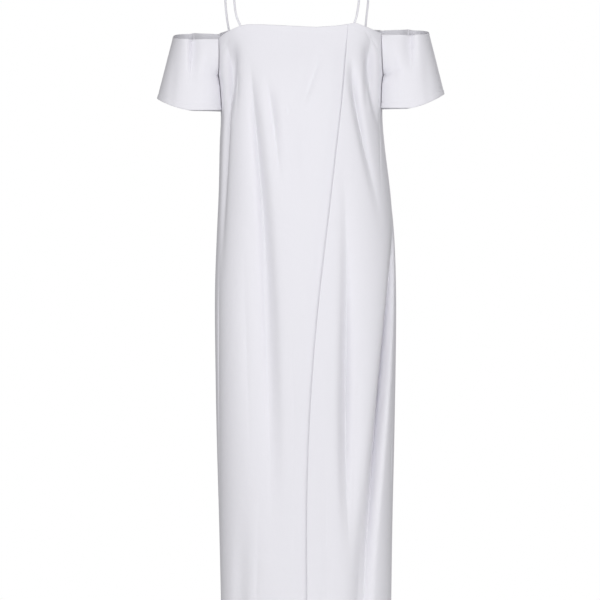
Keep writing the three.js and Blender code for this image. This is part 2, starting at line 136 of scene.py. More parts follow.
# Edge of the panel that laps over, and how the under panel sinks towards it.
LAP_EDGE = table(
    "z x",
    (-156, 89),
    (-283, 79),
    (-462, 59),
    (-742, 28),
    (-1000, 14),
    (-1320, 14),
)
LAP_LIFT = 1.2
LAP_DIP = 2.2
LAP_DIP_WIDTH = 15
LAP_DIP_START = 70
LAP_LIFT_FADE = (LAP_COLUMNS + 1, RIGHT_COLUMNS - 4)

# Folds as troughs: x at the start, a third, two thirds and the end, the depth, the part of
# the length where it is deepest, and the widths of the two slopes.
FOLD_COLUMNS = "start end x0 x1 x2 x3 depth deepest left right"
FRONT_FOLDS = table(
    FOLD_COLUMNS,
    (-190, -660, -128, -138, -144, -148, 8, 0.35, 8, 11),
    (-172, -335, -127, -128, -129, -130, 12, 0.35, 12, 12),
    (-205, -1150, -92, -67, -51, -40, 8, 0.4, 9, 12),
    (-235, -490, -63, -50, -40, -32, 3, 0.3, 8, 10),
    (-290, -540, -20, -17, -12, -8, 3, 0.4, 14, 16),
    (-185, -330, 44, 28, 12, -4, 3, 0.5, 10, 9),
    (-372, -1180, 73, 83, 80, 90, 6.5, 0.6, 7, 12),
    (-205, -560, 94, 107, 131, 156, 6, 0.2, 8, 9),
    (-170, -360, 128, 131, 138, 150, 12, 0.3, 12, 11),
    (-215, -335, 122, 123, 124, 124, 3, 0.4, 7, 6),
    (-460, -1440, 173, 163, 132, 120, 18, 0.36, 14, 8),
    (-1000, -1420, -104, -110, -114, -116, 5, 0.6, 15, 16),
)
BACK_FOLDS = table(
    FOLD_COLUMNS,
    (-190, -720, -88, -84, -74, -66, 6, 0.2, 10, 13),
    (-190, -780, 92, 84, 78, 70, 6, 0.25, 13, 10),
    (-420, -1420, -150, -138, -120, -110, 9, 0.35, 9, 18),
    (-480, -1420, 160, 150, 132, 120, 10, 0.3, 18, 9),
    (-520, -1250, -8, -4, 6, 10, 4, 0.4, 15, 14),
    (-820, -1440, 50, 54, 60, 64, 5, 0.6, 14, 16),
)

# Creases too fine for the solids, in the same columns. They are crisp: the cloth is convex on
# both sides of a sharp line, which is rounded over CREASE_TIP of the two slopes' widths.
CREASE_TIP = 0.0875
FRONT_CREASES = table(
    FOLD_COLUMNS,
    (-212, -700, -92, -80, -68, -59, 9, 0.3, 16, 6),
    (-400, -1180, -79, -67, -57, -49, 12, 0.4, 28, 17),
    (-372, -1180, 76, 86, 85, 95, 12, 0.6, 8, 24),
    (-210, -520, 94, 106, 128, 152, 6, 0.3, 5, 14),
    (-196, -560, -128, -135, -140, -144, 4, 0.3, 4, 5),
    (-440, -1440, 173, 163, 129, 118, 13, 0.36, 12, 6),
    (-960, -1700, 124, 108, 102, 100, 7, 0.35, 12, 24),
    (-232, -330, -115, -116, -117, -117, 2.5, 0.3, 3, 3.5),
    (-245, -480, -63, -51, -41, -33, 4, 0.35, 12, 5),
    (-300, -328, -27, -24, -21, -19, 1.4, 0.5, 2.2, 2.2),
    (-306, -322, -12, -18, -24, -30, 1, 0.5, 2, 2),
    (-189, -330, 43, 30, 14, -3, 1.8, 0.6, 6, 4),
    (-300, -480, 148, 149, 150, 151, 1.8, 0.4, 2, 2.4),
    (-166, -208, 126, 135, 144, 152, 2, 0.5, 2.4, 2.8),
    (-168, -330, -136, -134, -131, -130, 6, 0.35, 14, 8),
    (-162, -330, 131, 133, 137, 144, 6, 0.35, 9, 14),
    (-160, -192, 117, 124, 131, 138, 1.4, 0.5, 2.2, 2.6),
    (-172, -206, -128, -135, -143, -150, 1.4, 0.5, 2.2, 2.4),
    (-840, -1090, 173, 172, 171, 169, 2, 0.5, 2.5, 2.5),
    (-500, -1200, -150, -152, -151, -147, 4, 0.35, 6, 8),
    (-560, -1000, -104, -101, -96, -92, 1.4, 0.4, 7, 9),
    (-700, -1180, 112, 106, 100, 96, 1.4, 0.5, 7, 8),
    (-640, -1200, -18, -12, -10, -14, 1.2, 0.5, 8, 10),
    (-900, -1400, 46, 48, 50, 50, 1.2, 0.5, 8, 7),
    (-980, -1400, -76, -78, -82, -84, 1.2, 0.5, 8, 9),
)
BACK_CREASES = table(
    FOLD_COLUMNS,
    (-195, -600, -88, -85, -80, -74, 4, 0.25, 4.5, 3.5),
    (-195, -640, 92, 87, 82, 78, 4.2, 0.3, 3.5, 4.5),
    (-180, -330, 128, 132, 138, 146, 4, 0.35, 7, 6),
    (-180, -330, -126, -130, -136, -142, 4, 0.35, 6, 7),
    (-460, -1300, -148, -138, -122, -112, 4, 0.35, 4, 7),
    (-520, -1300, 158, 149, 134, 122, 4, 0.35, 7, 4),
    (-300, -640, 34, 30, 30, 34, 1.6, 0.4, 7, 8),
    (-340, -700, -34, -36, -40, -42, 1.8, 0.4, 7, 6),
    (-700, -1300, -54, -52, -48, -46, 1.8, 0.5, 8, 9),
    (-900, -1400, 96, 92, 90, 90, 1.6, 0.5, 7, 8),
    (-500, -760, 118, 114, 112, 110, 1.6, 0.4, 5, 6),
)

# Seams and stitched edges: depth of the groove and half its width, and the turned edge of
# the top and the hems, a step up to this height that ends this far from the edge.
SEAM_DEPTH = 0.9
SEAM_WIDTH = 2.2
TURNING_HEIGHT = 0.45
TURNING_SOFTNESS = 0.8
NECK_TURNING = 9
SLEEVE_TURNING = 10
SLEEVE_TOP_TURNING = 6
SLEEVE_TOP_RELIEF = 0.6
HEM_TURNING = 30
STITCH_DEPTH = 0.5
STITCH_WIDTH = 1.1
RIM_BULGE = 0.45

# Sleeves: side is -1 on the viewer's left. The first values are the outermost points and the
# heights of the top edge and the hem, the last ones the pleat in the front and its crease.
SLEEVES = {
    "sleeve_left": dict(
        side=-1, top_x=-241, hem_x=-271, top_front=-176, top_back=-153,
        hem_front=-310, hem_outer=-282, hem_back=-300,
        pleat_x=-204, pleat_depth=4, pleat_left=6, pleat_right=11, pleat_end=0.75,
        crease_depth=8, crease_left=3.5, crease_right=12,
    ),
    "sleeve_right": dict(
        side=1, top_x=245, hem_x=274, top_front=-168, top_back=-146,
        hem_front=-306, hem_outer=-273, hem_back=-296,
        pleat_x=208, pleat_depth=5, pleat_left=12, pleat_right=9, pleat_end=0.6,
        crease_depth=8, crease_left=11, crease_right=5,
    ),
}

# Sections of the sleeves, at the top edge and at the hem: the middle's x, the half-width
# towards the body and the half-depths. Then how the tube is joined to the armhole: shares of
# the way round or down, and lengths.
SLEEVE_CENTRE = (198, 204)
SLEEVE_INNER = (56, 62)
SLEEVE_FRONT = (60, 66)
SLEEVE_BACK = (54, 60)
SLEEVE_INNER_SQUARE = 8
SLEEVE_OUTER_SQUARE = 2.2
SLEEVE_HEM_RISE_SHAPE = 1.6
SLEEVE_BLEND = 0.22
SLEEVE_CLEARANCE = 1.6
SEAM_ALLOWANCE = 3
SEAM_LAP = 8
SLEEVE_INNER_DIP = 13
SLEEVE_DIP_WIDTH = 46
SLEEVE_DIP_FULL = 0.5
PLEAT_FADE_START = 0.1
ARMHOLE_SHARE = 2 / 3
BODY_SIDE_RADIUS = 160
RELIEF_MARGIN = (0.02, 0.1)

# Soft troughs of the sleeves: their distance from TROUGH_ORIGIN at the top edge and what the
# hem adds to it, the width, the depth and the shares of the fall between which they grow.
TROUGH_ORIGIN = 150
TROUGHS = (
    (24, 4, 9, 1.6, (0, 0.4)),
    (82, 10, 8, 1.4, (0.1, 0.6)),
)
TROUGH_FADE = 0.4
TROUGH_FADE_START = 0.6

# Straps: where they are sewn on at the front and back, and the route above.
STRAP_THICKNESS = 4
STRAP_TAIL = 10
STRAP_GAP = 0.7
STRAP_SIDES = 20
STRAP_STEPS = 240
STRAP_DOME = 1.2
STRAP_TIP = 0.02
STRAP_AXIS = (0.35, 1.0, 0.1)
STRAPS = {
    "strap_left": dict(
        front=(-112, -156.5),
        back=(-140, -144),
        over=[
            (-118, -87, -138), (-123, -77, -102), (-126, -57, -55), (-129, -32, -17),
            (-133, -5, 2), (-138, 22, -12), (-142, 44, -46), (-144, 60, -86), (-141, 66, -122),
        ],
    ),
    "strap_right": dict(
        front=(102, -151.5),
        back=(128.5, -140),
        over=[
            (105, -90, -138), (110.5, -79, -102), (114, -58, -55), (117.5, -32, -17),
            (121.5, -5, 2), (126, 22, -12), (129.5, 45, -46), (131.5, 62, -86),
            (128.5, 71.5, -118),
        ],
    ),
}

# Camera: the photo is PHOTO_SIZE pixels a side and 1.9 mm of the dress's plane a pixel.
PHOTO_SIZE = 600
MM_A_PIXEL = 1.9
CAMERA_DISTANCE = 4.0
CAMERA_HEIGHT = -0.665
SENSOR_WIDTH = 36.0

# Crepe: the distance of its ribs, the size of the slow unevenness, the heights of the three
# reliefs, and the painted shade of the hollows between the pebbles, as a share of the colour.
RIB_SPACING = 1.0
UNEVENNESS_SIZE = 30
PEBBLE_HEIGHT = 0.12
RIB_HEIGHT = 0.06
UNEVENNESS_HEIGHT = 1.2
HOLLOW_SHADE = 0.955

# Stage, in metres: each soft light's place, its size and the setting of its power. The floor
# is rings of points, the first at FLOOR_INNER_SHARE of its radius, FLOOR_DROP mm below the hem.
LIGHT_TARGET = (0, 0, -0.55)
SOFT_LIGHTS = (
    ("front_light", (0, -2.9, -0.2), 2.2, "front_power"),
    ("left_light", (-2.4, -2.2, -0.2), 1.8, "side_power"),
    ("right_light", (2.4, -2.2, -0.2), 1.8, "side_power"),
    ("back_light", (0.6, 3.0, 0.6), 1.8, "back_power"),
)
FLOOR_COLOUR = "#BFBFBD"
FLOOR_RINGS = 12
FLOOR_SIDES = 96
FLOOR_INNER_SHARE = 0.02
FLOOR_DROP = 25


# Sizes and colours that a user would change

class DressCloth(bpy.types.PropertyGroup):
    """The crepe that the body and the sleeves are cut from, and the straps."""

    thickness: FloatProperty(
        name="Cloth thickness",
        description="Thickness of the crepe",
        default=0.9 * MM,
        min=0.3 * MM,
        max=1.4 * MM,
        precision=4,
        unit="LENGTH",
    )
    crease_depth: FloatProperty(
        name="Crease depth",
        description="How deep the fine creases are, as a share of the pressed cloth's own",
        default=1.4,
        min=0.0,
        max=2.0,
        subtype="FACTOR",
    )
    colour: StringProperty(
        name="Crepe colour",
        description="sRGB colour of the crepe, as a hex value",
        default="#E6E5EB",
    )
    grain: FloatProperty(
        name="Crepe grain",
        description="Size of the pebbles that the twisted yarns raise",
        default=1.3 * MM,
        min=0.5 * MM,
        max=4 * MM,
        precision=4,
        unit="LENGTH",
    )


class DressStage(bpy.types.PropertyGroup):
    """The soft light and the painted floor."""

    front_power: FloatProperty(
        name="Front light",
        description="Power of the large soft light in front of the dress",
        default=47.5,
        min=0.0,
        unit="POWER",
    )
    side_power: FloatProperty(
        name="Side lights",
        description="Power of each soft light beside the dress",
        default=35.5,
        min=0.0,
        unit="POWER",
    )
    back_power: FloatProperty(
        name="Back light",
        description="Power of the soft light behind the dress",
        default=66.0,
        min=0.0,
        unit="POWER",
    )
    room_light: FloatProperty(
        name="Room light",
        description="Strength of the even light that comes from all round",
        default=0.15,
        min=0.0,
        max=2.0,
    )
    floor_radius: FloatProperty(
        name="Floor radius",
        description="Radius of the painted floor under the dress",
        default=0.7,
        min=0.3,
        unit="LENGTH",
    )


# Values from the tables

def smooth_step(value, start, end):
    """0 before start and 1 past end, with a smooth S between them."""
    t = np.clip((value - start) / (end - start), 0, 1)
    return t * t * (3 - 2 * t)


def mix(a, b, share):
    """The value that lies a given share of the way from a to b."""
    return a + (b - a) * share


def smooth_value(rows, column, z):
    """A column's value at heights z, on a cubic Hermite curve through the rows.

    The slope at each row is that of the line between its neighbours.
    """
    keys = rows["z"]
    values = rows[column]
    i = np.clip(np.searchsorted(-keys, -z, side="right") - 1, 0, len(keys) - 2)
    before = np.maximum(i - 1, 0)
    after = np.minimum(i + 2, len(keys) - 1)
    span = keys[i + 1] - keys[i]
    t = np.clip((z - keys[i]) / span, 0, 1)
    start_slope = span * (values[i + 1] - values[before]) / (keys[i + 1] - keys[before])
    end_slope = span * (values[after] - values[i]) / (keys[after] - keys[i])
    rise = values[i + 1] - values[i]
    bend = 3 * rise - 2 * start_slope - end_slope
    twist = start_slope + end_slope - 2 * rise
    return values[i] + t * (start_slope + t * (bend + t * twist))


def cubic_through(a, b, c, d, t):
    """The cubic through four values at 0, a third, two thirds and 1."""
    p = 3 * t
    return (
        a * (1 - p) * (2 - p) * (3 - p) / 6
        + b * p * (2 - p) * (3 - p) / 2
        - c * p * (1 - p) * (3 - p) / 2
        + d * p * (1 - p) * (2 - p) / 6
    )


# The body's form

def section_at(z):
    """Centre, half-width, front depth, back depth and squareness of the body at heights z."""
    left = smooth_value(SECTIONS, "left", z)
    right = smooth_value(SECTIONS, "right", z)
    depths = smooth_value(SECTIONS, "front", z), smooth_value(SECTIONS, "back", z)
    square = smooth_value(SECTIONS, "square", z)
    return (left + right) / 2, (right - left) / 2, *depths, square


def super_radius(angle, half_width, depth, square):
    """Radius of a superellipse: |x / half_width|^square + |y / depth|^square = 1.

    The angle runs from -Y towards +X.
    """
    across = np.abs(np.sin(angle) / half_width) ** square
    along = np.abs(np.cos(angle) / depth) ** square
    return (across + along) ** (-1 / square)


def body_radius(angle, z):
    """Radius of the body's section at an angle and a height."""
    _, half_width, front, back, square = section_at(z)
    return super_radius(angle, half_width, np.where(np.cos(angle) > 0, front, back), square)


def angle_at_x(x, z, on_front):
    """Angle of the body's section at a given x, on its front or its back."""
    centre, half_width, front, back, square = section_at(z)
    across = np.clip((x - centre) / half_width, -WIDEST_SHARE, WIDEST_SHARE)
    y = (front if on_front else back) * (1 - np.abs(across) ** square) ** (1 / square)
    angle = np.arctan2(across * half_width, y)
    return angle if on_front else np.pi - angle


def angle_at_y(y, z, side):
    """Angle of the body's section at a given y, on the left (side -1) or the right (1)."""
    _, half_width, front, back, square = section_at(z)
    along = np.abs(y / np.where(y < 0, front, back)) ** square
    angle = np.arctan2(side * half_width * (1 - along) ** (1 / square), -y)
    return np.where((y > 0) & (side < 0), angle + 2 * np.pi, angle)


def soft_profile(reach):
    """A trough with a round bottom, by the distance as a share of the width: exp(-reach^2)."""
    return np.exp(-(reach**2))


def crisp_profile(reach):
    """A trough with a sharp bottom, a little rounded: exp(-reach) with a hyperbola's tip."""
    return np.exp(CREASE_TIP - np.hypot(reach, CREASE_TIP))


def fold_depth(angle, z, folds, on_front, profile):
    """How far a table of folds draws the cloth in.

    Each fold is depth * profile(distance / width) across itself, with the width of the side
    that the point is on, and along itself it rises smoothly to its deepest place and fades.
    """
    total = np.zeros(np.broadcast(angle, z).shape)
    for row in zip(*folds.values()):
        start, end, x0, x1, x2, x3, depth, deepest, left, right = row
        t = np.clip((z - start) / (end - start), 0, 1)
        middle = angle_at_x(cubic_through(x0, x1, x2, x3, t), z, on_front)
        turn = 1 if on_front else -1
        distance = turn * (angle - middle) * body_radius(middle, z)
        width = np.where(distance < 0, left, right)
        fade = smooth_step(t, 0, deepest) * (1 - smooth_step(t, deepest, 1))
        total += depth * fade * profile(distance / width)
    return total


def seam_depth(angle, z):
    """Grooves along the side seams: SEAM_DEPTH * exp(-(distance / SEAM_WIDTH)^2)."""
    radius = body_radius(angle, z)
    right = (angle - np.pi / 2) * radius
    left = (np.abs(angle - np.pi / 2) - np.pi) * radius
    nearest = np.minimum(np.abs(right), np.abs(left))
    return SEAM_DEPTH * np.exp(-((nearest / SEAM_WIDTH) ** 2))


def body_point(angle, z, crease_share):
    """Points of the cloth's outer face: the section's outline, drawn in at its folds.

    The folds draw it in along its normal, and the crisp creases straight along Y.
    """
    centre, half_width, front, back, square = section_at(z)
    depth = np.where(np.cos(angle) > 0, front, back)
    radius = super_radius(angle, half_width, depth, square)
    x = radius * np.sin(angle)
    y = -radius * np.cos(angle)
    normal_x = np.sign(x) * np.abs(x / half_width) ** (square - 1) / half_width
    normal_y = np.sign(y) * np.abs(y / depth) ** (square - 1) / depth
    size = np.hypot(normal_x, normal_y)
    inward = fold_depth(angle, z, FRONT_FOLDS, True, soft_profile)
    inward += fold_depth(angle, z, BACK_FOLDS, False, soft_profile)
    straight_back = np.zeros_like(inward)
    if crease_share > 0:
        inward += seam_depth(angle, z)
        straight_back = fold_depth(angle, z, FRONT_CREASES, True, crisp_profile)
        straight_back -= fold_depth(angle, z, BACK_CREASES, False, crisp_profile)
    x = centre + x - inward * normal_x / size
    y = y - inward * normal_y / size + crease_share * straight_back
    return np.stack([x, y, np.broadcast_to(z, x.shape)], axis=-1)


def unit(vectors):
    """The vectors at length 1."""
    return vectors / np.linalg.norm(vectors, axis=-1, keepdims=True)


def body_normal(angle, z, crease_share):
    """Outward normals of the body, from small steps round it and down it."""
    turn = 0.002
    drop = 0.5
    along = body_point(angle + turn, z, crease_share) - body_point(angle - turn, z, crease_share)
    down = body_point(angle, z - drop, crease_share) - body_point(angle, z + drop, crease_share)
    return unit(np.cross(down, along))


def armhole_z(y, side):
    """Height of the armhole's edge: a rounded U through its two corners and the underarm."""
    row = 0 if side < 0 else -1
    top = np.where(y < 0, FRONT_TOP["z"][row], BACK_TOP["z"][row])
    corner = np.where(y < 0, ARMHOLE_FRONT_Y, ARMHOLE_BACK_Y)
    return mix(UNDERARM_Z, top, np.clip(y / corner, 0, 1) ** ARMHOLE_ROUNDNESS)


def top_edge_z(angle, z):
    """Height of the top edge at an angle: the armhole at the sides, a table elsewhere."""
    x, y, _ = np.moveaxis(body_point(angle, z, 0), -1, 0)
    armhole = np.where(x < 0, armhole_z(y, -1), armhole_z(y, 1))
    front = np.interp(x, FRONT_TOP["x"], FRONT_TOP["z"])
    back = np.interp(x, BACK_TOP["x"], BACK_TOP["z"])
    in_armhole = (y > ARMHOLE_FRONT_Y) & (y < ARMHOLE_BACK_Y)
    return np.where(in_armhole, armhole, np.where(y < 0, front, back))


def armhole_y(up, corner_y):
    """The y of a place on an armhole's edge, up the edge from the underarm to the corner.

    The places crowd towards the corner, where the edge is steep: up^ARMHOLE_SPREAD.
    """
    return mix(np.sign(corner_y) * SEAM_GAP / 2, corner_y, up**ARMHOLE_SPREAD)


def side_angle(column, corner_y, z, side):
    """Angle of a column beside a seam: column 0 lies half a seam gap from it."""
    return angle_at_y(armhole_y(np.clip(column / ARMHOLE_COLUMNS, 0, 1), corner_y), z, side)


def front_angle(column, z):
    """Angle of a front column: straight shares between side seam, corner, lap and corner."""
    lap = angle_at_x(smooth_value(LAP_EDGE, "x", z), z, True)
    left_corner = angle_at_y(ARMHOLE_FRONT_Y, z, -1)
    right_corner = angle_at_y(ARMHOLE_FRONT_Y, z, 1)
    left = mix(left_corner, lap, (column - ARMHOLE_COLUMNS) / LEFT_COLUMNS)
    right = mix(lap, right_corner, (column - LAP_COLUMN) / RIGHT_COLUMNS)
    middle = np.where(column <= LAP_COLUMN, left, right)
    left_side = side_angle(column, ARMHOLE_FRONT_Y, z, -1)
    right_side = side_angle(RIGHT_SEAM - column, ARMHOLE_FRONT_Y, z, 1)
    sides = np.where(column <= ARMHOLE_COLUMNS, left_side, right_side)
    return np.where((column > ARMHOLE_COLUMNS) & (column < RIGHT_CORNER), middle, sides)


def back_angle(column, z):
    """Angle of a back column, from the right side seam round to the left one."""
    from_left = LAST_BACK_COLUMN - column
    right_corner = angle_at_y(ARMHOLE_BACK_Y, z, 1)
    left_corner = angle_at_y(ARMHOLE_BACK_Y, z, -1)
    middle = mix(right_corner, left_corner, (column - ARMHOLE_COLUMNS) / BACK_COLUMNS)
    right_side = side_angle(column, ARMHOLE_BACK_Y, z, 1)
    left_side = side_angle(from_left, ARMHOLE_BACK_Y, z, -1)
    sides = np.where(column <= ARMHOLE_COLUMNS, right_side, left_side)
    return np.where((column > ARMHOLE_COLUMNS) & (from_left > ARMHOLE_COLUMNS), middle, sides)


def turned_edge(distance, width):
    """Relief of a turned and stitched edge, by the distance from the edge.

    A step of TURNING_HEIGHT that ends at width, with a groove of stitches along its end.
    """
    start = width - TURNING_SOFTNESS
    end = width + TURNING_SOFTNESS
    step = TURNING_HEIGHT * (1 - smooth_step(distance, start, end))
    groove = STITCH_DEPTH * np.exp(-(((distance - width) / STITCH_WIDTH) ** 2))
    return step - groove


def under_offset(column, angle, z, below):
    """How far the under panel lies inside the body's face, near the lap edge and below it."""
    start = smooth_step(below, 0, LAP_DIP_START)
    lap_angle = front_angle(np.full_like(column, LAP_COLUMN), z)
    distance = (angle - lap_angle) * body_radius(lap_angle, z)
    before = np.exp(-((distance / LAP_DIP_WIDTH) ** 2))
    after = 1 - smooth_step(column - LAP_COLUMN, 0, LAP_COLUMNS)
    return -LAP_DIP * start * np.where(column > LAP_COLUMN, after, before)


def over_offset(column, *_):
    """How far the over panel lies outside the body's face: LAP_LIFT, fading past the lap."""
    return LAP_LIFT * (1 - smooth_step(column - LAP_COLUMN, *LAP_LIFT_FADE))


def plain_offset(column, *_):
    """No offset: the panel lies on the body's face."""
    return np.zeros_like(column)


def panel_points(angle_of, columns, fineness, offset_of, cloth):
    """Outer points and normals of a body panel, a grid of rows down and columns across.

    Each column starts on the top edge, and its height falls to the hem with fall^ROW_SPREAD.
    columns are the first and the last one, fineness the steps a column and the rows.
    """
    first, last = columns
    steps, rows = fineness
    column = np.linspace(first, last, (last - first) * steps + 1)
    top = np.full_like(column, FRONT_TOP["z"][0])
    for _ in range(TOP_EDGE_PASSES):
        top = top_edge_z(angle_of(column, top), top)
    fall = np.linspace(0, 1, rows + 1)[:, None] ** ROW_SPREAD
    z = mix(top[None, :], HEM_Z, fall)
    column = np.broadcast_to(column, z.shape).copy()
    angle = angle_of(column, z)
    below = top[None, :] - z
    # The back has fewer columns than RIGHT_CORNER, so there the left armhole is turned too
    turned = (column > ARMHOLE_COLUMNS) & (column < RIGHT_CORNER)
    relief = np.where(turned, turned_edge(below, NECK_TURNING), 0)
    relief = relief + turned_edge(z - HEM_Z, HEM_TURNING)
    normal = body_normal(angle, z, cloth.crease_depth)
    point = body_point(angle, z, cloth.crease_depth)
    offset = offset_of(column, angle, z, below) + relief
    return point + offset[..., None] * normal, normal


# The sleeves' form

def sleeve_edge(sleeve, facing, fall):
    """Where the sleeve is sewn on: down the armhole's edge, then down the underarm seam.

    facing is -1 on the front edge and 1 on the back edge. The edge lies over the body's own,
    by SEAM_ALLOWANCE at the corner and by SEAM_LAP more halfway up the armhole. It is lifted
    off the body's face by a gap and a share of a wall, and never less than SLEEVE_CLEARANCE.
    """
    corner_y = ARMHOLE_FRONT_Y if facing < 0 else ARMHOLE_BACK_Y
    up = np.maximum(1 - fall / ARMHOLE_SHARE, 0)
    y = mix(facing * SEAM_GAP / 2, corner_y, 1 - (1 - up) ** 2)
    down = np.maximum((fall - ARMHOLE_SHARE) / (1 - ARMHOLE_SHARE), 0)
    hem_z = (sleeve["hem_front"] + sleeve["hem_back"]) / 2
    z = np.where(down > 0, mix(UNDERARM_Z, hem_z, down), armhole_z(y, sleeve["side"]))
    over_body = up * SEAM_ALLOWANCE + 4 * up * (1 - up) * SEAM_LAP
    turn = sleeve["side"] * facing * over_body / BODY_SIDE_RADIUS
    angle = angle_at_y(y, z, sleeve["side"]) + turn
    lift = np.maximum(SEAM_GAP + up * SOLID_WALL, SLEEVE_CLEARANCE)
    return body_point(angle, z, 0) + lift[..., None] * body_normal(angle, z, 0)


def sleeve_troughs(x, fall):
    """Soft shallow troughs that hang beside the pleat: depth * exp(-(distance / width)^2)."""
    outward = np.abs(x) - TROUGH_ORIGIN
    total = np.zeros_like(outward)
    for place, spread, width, depth, grown in TROUGHS:
        distance = outward - place - spread * fall
        total += depth * np.exp(-((distance / width) ** 2)) * smooth_step(fall, *grown)
    return total * (1 - TROUGH_FADE * smooth_step(fall, TROUGH_FADE_START, 1))


def tube_point(sleeve, angle, fall):
    """The sleeve as a free flared tube of superelliptic sections.

    The pleat, with a crisp crease in it, and the soft troughs draw in its front and its back.
    The front also dips in beside the body, where the sleeve folds under the arm.
    """
    side = sleeve["side"]
    centre = side * mix(*SLEEVE_CENTRE, fall)
    outward = side * np.sin(angle)
    outer_width = np.abs(mix(sleeve["top_x"], sleeve["hem_x"], fall) - centre)
    half_width = np.where(outward > 0, outer_width, mix(*SLEEVE_INNER, fall))
    depth = np.where(np.cos(angle) > 0, mix(*SLEEVE_FRONT, fall), mix(*SLEEVE_BACK, fall))
    square = np.where(outward > 0, SLEEVE_OUTER_SQUARE, SLEEVE_INNER_SQUARE)
    radius = super_radius(angle, half_width, depth, square)
    x = centre + radius * np.sin(angle)
    backward = (1 - np.cos(angle)) / 2
    rise = np.maximum(outward, 0) ** SLEEVE_HEM_RISE_SHAPE
    level = (sleeve["hem_front"] + sleeve["hem_back"]) / 2
    top = mix(sleeve["top_front"], sleeve["top_back"], backward)
    hem = mix(sleeve["hem_front"], sleeve["hem_back"], backward)
    hem = hem + rise * (sleeve["hem_outer"] - level)
    aside = x - sleeve["pleat_x"]
    width = np.where(aside < 0, sleeve["pleat_left"], sleeve["pleat_right"])
    pleat = sleeve["pleat_depth"] * np.exp(-((aside / width) ** 2))
    width = np.where(aside < 0, sleeve["crease_left"], sleeve["crease_right"])
    pleat += sleeve["crease_depth"] * crisp_profile(aside / width)
    pleat = pleat * (1 - smooth_step(fall, PLEAT_FADE_START, sleeve["pleat_end"]))
    inward = np.sign(np.cos(angle)) * (pleat + sleeve_troughs(x, fall))
    from_body = np.abs(x - centre + side * mix(*SLEEVE_INNER, fall))
    dip = SLEEVE_INNER_DIP * smooth_step(fall, 0, SLEEVE_DIP_FULL)
    dip = dip * (1 - smooth_step(from_body, 0, SLEEVE_DIP_WIDTH))
    inward = inward + np.where(np.cos(angle) > 0, dip, 0)
    return np.stack([x, inward - radius * np.cos(angle), mix(top, hem, fall)], axis=-1)


def keep_clear(point):
    """The sleeve's points, with those nearer than SLEEVE_CLEARANCE to the body moved out."""
    centre = section_at(point[..., 2])[0]
    x = point[..., 0] - centre
    y = point[..., 1]
    angle = np.arctan2(x, -y)
    nearest = body_radius(angle, point[..., 2]) + SLEEVE_CLEARANCE
    radius = np.maximum(np.hypot(x, y), nearest)
    moved = [centre + radius * np.sin(angle), -radius * np.cos(angle), point[..., 2]]
    return np.stack(moved, axis=-1)


def sleeve_point(sleeve, u, fall):
    """The sleeve's outer face: u runs round it anticlockwise, fall from top edge to hem.

    Near each seam the tube is pulled onto the armhole by (1 - distance / SLEEVE_BLEND)^2, and
    then all of it is kept clear of the body.
    """
    side = sleeve["side"]
    centre = side * mix(*SLEEVE_CENTRE, fall)
    start = sleeve_edge(sleeve, -side, fall)
    end = sleeve_edge(sleeve, side, fall)
    start_angle = np.arctan2(start[..., 0] - centre, -start[..., 1])
    end_angle = np.arctan2(end[..., 0] - centre, -end[..., 1])
    end_angle = np.where(end_angle < start_angle + np.pi / 2, end_angle + 2 * np.pi, end_angle)
    start_pull = np.maximum(1 - u / SLEEVE_BLEND, 0) ** 2
    end_pull = np.maximum(1 - (1 - u) / SLEEVE_BLEND, 0) ** 2
    point = tube_point(sleeve, mix(start_angle, end_angle, u), fall)
    point += start_pull[..., None] * (start - tube_point(sleeve, start_angle, fall))
    point += end_pull[..., None] * (end - tube_point(sleeve, end_angle, fall))
    return keep_clear(point)


def sleeve_points(sleeve):
    """Outer points and normals of a sleeve, with the turned hem and top edge in relief."""
    fall = np.linspace(0, 1, SLEEVE_ROWS + 1)
    fall, u = np.meshgrid(fall, np.linspace(0, 1, SLEEVE_STEPS + 1), indexing="ij")
    point = sleeve_point(sleeve, u, fall)
    step = 0.003
    along = sleeve_point(sleeve, np.minimum(u + step, 1), fall)
    along -= sleeve_point(sleeve, np.maximum(u - step, 0), fall)
    down = sleeve_point(sleeve, u, np.minimum(fall + step, 1))
    down -= sleeve_point(sleeve, u, np.maximum(fall - step, 0))
    normal = unit(np.cross(down, along))
    length = abs(sleeve["top_front"] - sleeve["hem_front"])
    relief = turned_edge((1 - fall) * length, SLEEVE_TURNING)
    relief = relief + turned_edge(fall * length, SLEEVE_TOP_TURNING) * SLEEVE_TOP_RELIEF
    away = smooth_step(np.minimum(u, 1 - u), *RELIEF_MARGIN)
    return point + (away * relief)[..., None] * normal, normal


# Meshes

